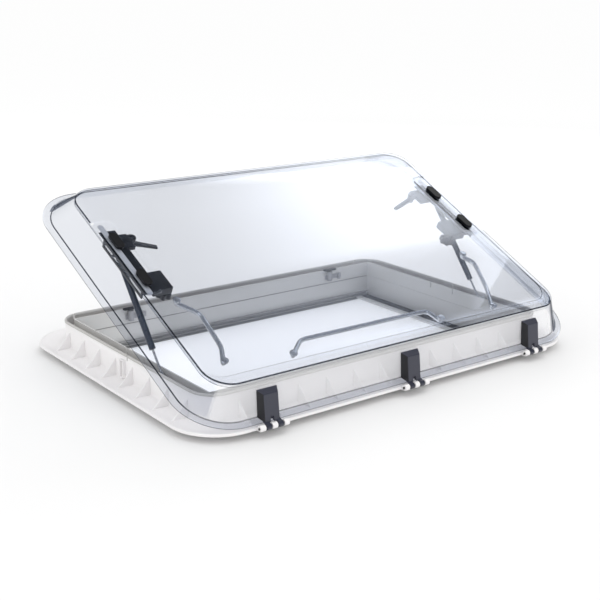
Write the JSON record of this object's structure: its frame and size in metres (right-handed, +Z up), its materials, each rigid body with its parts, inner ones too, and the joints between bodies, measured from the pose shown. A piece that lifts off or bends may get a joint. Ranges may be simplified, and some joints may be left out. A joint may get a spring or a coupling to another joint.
{
  "type": "hinged roof light",
  "caption": "Double-glazed dome roof light hinged along one side of a gusseted frame, held open by telescopic stays, with pull handles, catches and pleated coverings.",
  "frame": {"origin": "on the underside of the outer frame's flange, in the middle of the hinge side", "axes": "+X along the hinge side, +Y from the hinge side to the free side, +Z up out of the roof; at rest the lid stands 25.5 degrees open"},
  "size_m": [1.074, 0.7936, 0.4165],
  "materials": {
    "white_shell": "white moulding, semi-gloss",
    "seal_grey": "matt grey rubber",
    "liner_grey": "light grey, satin",
    "clear_glazing": "clear acrylic, polished",
    "black_moulding": "black, satin",
    "hinge_black": "black, satin",
    "steel": "bright steel",
    "stay_paint": "dark painted steel",
    "aluminium": "satin aluminium",
    "spacer_grey": "light grey",
    "screen_fabric": "dark pleated mesh",
    "blind_fabric": "grey pleated cloth",
    "bar_grey": "light grey, satin"
  },
  "bodies": {
    "frame": {"outer_frame": "white_shell", "rim_seal": "seal_grey", "upper_liner": "liner_grey", "inner_frame": "liner_grey", "front_guide_rail": "liner_grey", "back_guide_rail": "liner_grey", "blind_pleats": "blind_fabric", "blind_tray": "liner_grey", "screen_pleats": "screen_fabric", "screen_tray": "liner_grey", "left_hinge_pin": "black_moulding", "middle_hinge_pin": "black_moulding", "right_hinge_pin": "black_moulding", "left_catch": "spacer_grey", "left_stay_foot": "steel", "right_catch": "spacer_grey", "right_stay_foot": "steel"},
    "lid": {"outer_dome": "clear_glazing", "inner_pane": "clear_glazing", "front_handle": "aluminium", "left_handle": "aluminium", "right_handle": "aluminium", "left_hinge_cover": "hinge_black", "middle_hinge_cover": "hinge_black", "right_hinge_cover": "hinge_black", "left_spacer": "spacer_grey", "left_rear_cap": "black_moulding", "left_front_cap": "black_moulding", "left_rail": "black_moulding", "left_latch_block": "black_moulding", "left_clamp_block": "black_moulding", "left_lever_pin": "steel", "right_spacer": "spacer_grey", "right_rear_cap": "black_moulding", "right_front_cap": "black_moulding", "right_rail": "black_moulding", "right_latch_block": "black_moulding", "right_clamp_block": "black_moulding", "right_lever_pin": "steel"},
    "blind_bar": {"blind_bar": "bar_grey"},
    "screen_bar": {"screen_bar": "bar_grey"},
    "left_catch_button": {"left_catch_button": "black_moulding"},
    "left_lever": {"left_lever": "black_moulding"},
    "left_clamp_knob": {"left_clamp_knob": "black_moulding"},
    "left_stay_rod": {"left_stay_rod": "steel"},
    "left_stay_cylinder": {"left_stay_cylinder": "stay_paint"},
    "right_catch_button": {"right_catch_button": "black_moulding"},
    "right_lever": {"right_lever": "black_moulding"},
    "right_clamp_knob": {"right_clamp_knob": "black_moulding"},
    "right_stay_rod": {"right_stay_rod": "steel"},
    "right_stay_cylinder": {"right_stay_cylinder": "stay_paint"}
  },
  "joints": [
    {"name": "lid_hinge", "type": "hinge", "parent": "frame", "child": "lid", "pos_m": [0, -0.041, 0.007], "axis": [1, 0, 0], "range_deg": [-25.5, 24.5]},
    {"name": "left_stay_swing", "type": "hinge", "parent": "frame", "child": "left_stay_rod", "pos_m": [-0.46, 0.226, 0.05], "axis": [1, 0, 0], "range_deg": [-51.4, 49.4]},
    {"name": "left_stay_extend", "type": "slide", "parent": "left_stay_rod", "child": "left_stay_cylinder", "axis": [0, 0.6163, 0.7875], "range_m": [-0.0122, 0.0118]},
    {"name": "left_lever_turn", "type": "hinge", "parent": "lid", "child": "left_lever", "pos_m": [-0.408, 0.43635, 0.27679], "axis": [0, -0.4305, 0.9026], "range_deg": [0, 90]},
    {"name": "left_knob_turn", "type": "hinge", "parent": "lid", "child": "left_clamp_knob", "pos_m": [-0.408, 0.29934, 0.19703], "axis": [0, -0.4305, 0.9026], "range_deg": [-180, 180]},
    {"name": "left_catch_turn", "type": "hinge", "parent": "frame", "child": "left_catch_button", "pos_m": [-0.305, 0.6347, 0.062], "axis": [0, 0, 1], "range_deg": [-90, 90]},
    {"name": "right_stay_swing", "type": "hinge", "parent": "frame", "child": "right_stay_rod", "pos_m": [0.46, 0.226, 0.05], "axis": [1, 0, 0], "range_deg": [-51.4, 49.4]},
    {"name": "right_stay_extend", "type": "slide", "parent": "right_stay_rod", "child": "right_stay_cylinder", "axis": [0, 0.6163, 0.7875], "range_m": [-0.0122, 0.0118]},
    {"name": "right_lever_turn", "type": "hinge", "parent": "lid", "child": "right_lever", "pos_m": [0.408, 0.43635, 0.27679], "axis": [0, -0.4305, 0.9026], "range_deg": [-90, 0]},
    {"name": "right_knob_turn", "type": "hinge", "parent": "lid", "child": "right_clamp_knob", "pos_m": [0.408, 0.29934, 0.19703], "axis": [0, -0.4305, 0.9026], "range_deg": [-180, 180]},
    {"name": "right_catch_turn", "type": "hinge", "parent": "frame", "child": "right_catch_button", "pos_m": [0.305, 0.6347, 0.062], "axis": [0, 0, 1], "range_deg": [-90, 90]},
    {"name": "blind_pull", "type": "slide", "parent": "frame", "child": "blind_bar", "axis": [1, 0, 0], "range_m": [0, 0.83]},
    {"name": "screen_pull", "type": "slide", "parent": "frame", "child": "screen_bar", "axis": [-1, 0, 0], "range_m": [0, 0.83]}
  ],
  "couplings": [
    {"joint": "left_stay_swing", "follows": "lid_hinge", "ratio": 2.0103},
    {"joint": "left_stay_extend", "follows": "lid_hinge", "m_per_rad": 0.027042},
    {"joint": "right_stay_swing", "follows": "lid_hinge", "ratio": 2.0103},
    {"joint": "right_stay_extend", "follows": "lid_hinge", "m_per_rad": 0.027042}
  ]
}
